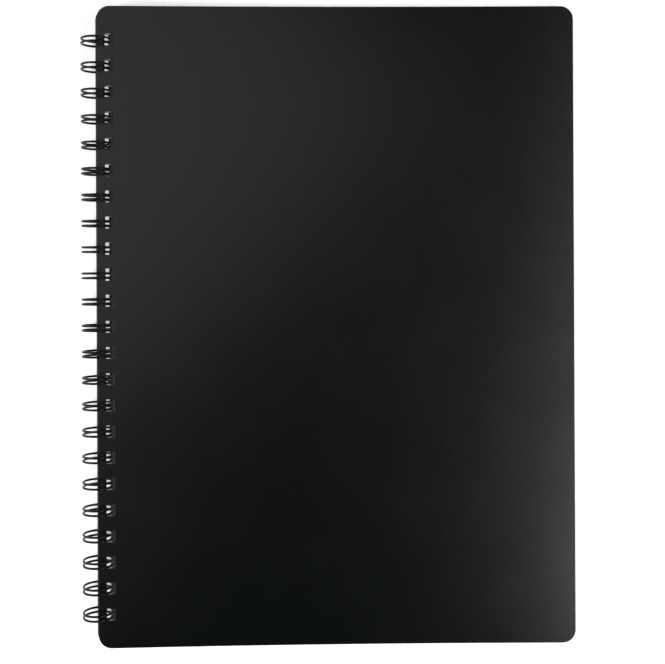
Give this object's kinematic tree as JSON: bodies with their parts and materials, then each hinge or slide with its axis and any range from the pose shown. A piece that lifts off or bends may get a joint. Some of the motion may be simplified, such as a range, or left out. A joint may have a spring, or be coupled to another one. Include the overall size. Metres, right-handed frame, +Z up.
{
  "type": "wire-bound music folder",
  "caption": "Closed A4 folder for sheet music: plain black plastic covers and clear welded pockets, punched along the spine and held by a closed twin-loop wire, so that every leaf turns over.",
  "frame": {"origin": "middle of the closed folder's footprint, on the table", "axes": "+Y along the spine towards the pockets' mouths, +X from the spine to the fore edge, +Z up through the front cover"},
  "size_m": [0.2406, 0.312, 0.0148],
  "materials": {
    "cover_plastic": "fine-grained matt black polypropylene",
    "coated_wire": "satin black nylon coat on steel",
    "pocket_film": "clear, faintly cloudy polypropylene film"
  },
  "bodies": {
    "back": {"back_cover": "cover_plastic", "wire_binding": "coated_wire"},
    "front": {"front_cover": "cover_plastic"},
    "sleeve_01": {"sleeve_01_back_film": "pocket_film", "sleeve_01_front_film": "pocket_film"},
    "sleeve_02": {"sleeve_02_back_film": "pocket_film", "sleeve_02_front_film": "pocket_film"},
    "sleeve_03": {"sleeve_03_back_film": "pocket_film", "sleeve_03_front_film": "pocket_film"},
    "sleeve_04": {"sleeve_04_back_film": "pocket_film", "sleeve_04_front_film": "pocket_film"},
    "sleeve_05": {"sleeve_05_back_film": "pocket_film", "sleeve_05_front_film": "pocket_film"},
    "sleeve_06": {"sleeve_06_back_film": "pocket_film", "sleeve_06_front_film": "pocket_film"},
    "sleeve_07": {"sleeve_07_back_film": "pocket_film", "sleeve_07_front_film": "pocket_film"},
    "sleeve_08": {"sleeve_08_back_film": "pocket_film", "sleeve_08_front_film": "pocket_film"},
    "sleeve_09": {"sleeve_09_back_film": "pocket_film", "sleeve_09_front_film": "pocket_film"},
    "sleeve_10": {"sleeve_10_back_film": "pocket_film", "sleeve_10_front_film": "pocket_film"}
  },
  "joints": [
    {"name": "front_cover_turn", "type": "hinge", "parent": "back", "child": "front", "pos_m": [-0.11292, 0, 0.00745], "axis": [0, -1, 0], "range_deg": [0, 180]},
    {"name": "sleeve_01_turn", "type": "hinge", "parent": "back", "child": "sleeve_01", "pos_m": [-0.11292, 0, 0.00745], "axis": [0, -1, 0], "range_deg": [0, 177]},
    {"name": "sleeve_02_turn", "type": "hinge", "parent": "back", "child": "sleeve_02", "pos_m": [-0.11292, 0, 0.00745], "axis": [0, -1, 0], "range_deg": [0, 174]},
    {"name": "sleeve_03_turn", "type": "hinge", "parent": "back", "child": "sleeve_03", "pos_m": [-0.11292, 0, 0.00745], "axis": [0, -1, 0], "range_deg": [0, 171]},
    {"name": "sleeve_04_turn", "type": "hinge", "parent": "back", "child": "sleeve_04", "pos_m": [-0.11292, 0, 0.00745], "axis": [0, -1, 0], "range_deg": [0, 168]},
    {"name": "sleeve_05_turn", "type": "hinge", "parent": "back", "child": "sleeve_05", "pos_m": [-0.11292, 0, 0.00745], "axis": [0, -1, 0], "range_deg": [0, 165]},
    {"name": "sleeve_06_turn", "type": "hinge", "parent": "back", "child": "sleeve_06", "pos_m": [-0.11292, 0, 0.00745], "axis": [0, -1, 0], "range_deg": [0, 162]},
    {"name": "sleeve_07_turn", "type": "hinge", "parent": "back", "child": "sleeve_07", "pos_m": [-0.11292, 0, 0.00745], "axis": [0, -1, 0], "range_deg": [0, 159]},
    {"name": "sleeve_08_turn", "type": "hinge", "parent": "back", "child": "sleeve_08", "pos_m": [-0.11292, 0, 0.00745], "axis": [0, -1, 0], "range_deg": [0, 156]},
    {"name": "sleeve_09_turn", "type": "hinge", "parent": "back", "child": "sleeve_09", "pos_m": [-0.11292, 0, 0.00745], "axis": [0, -1, 0], "range_deg": [0, 153]},
    {"name": "sleeve_10_turn", "type": "hinge", "parent": "back", "child": "sleeve_10", "pos_m": [-0.11292, 0, 0.00745], "axis": [0, -1, 0], "range_deg": [0, 150]}
  ],
  "couplings": [
    {"joint": "sleeve_01_turn", "follows": "front_cover_turn", "ratio": 0.98333},
    {"joint": "sleeve_02_turn", "follows": "front_cover_turn", "ratio": 0.96667},
    {"joint": "sleeve_03_turn", "follows": "front_cover_turn", "ratio": 0.95},
    {"joint": "sleeve_04_turn", "follows": "front_cover_turn", "ratio": 0.93333},
    {"joint": "sleeve_05_turn", "follows": "front_cover_turn", "ratio": 0.91667},
    {"joint": "sleeve_06_turn", "follows": "front_cover_turn", "ratio": 0.9},
    {"joint": "sleeve_07_turn", "follows": "front_cover_turn", "ratio": 0.88333},
    {"joint": "sleeve_08_turn", "follows": "front_cover_turn", "ratio": 0.86667},
    {"joint": "sleeve_09_turn", "follows": "front_cover_turn", "ratio": 0.85},
    {"joint": "sleeve_10_turn", "follows": "front_cover_turn", "ratio": 0.83333}
  ]
}
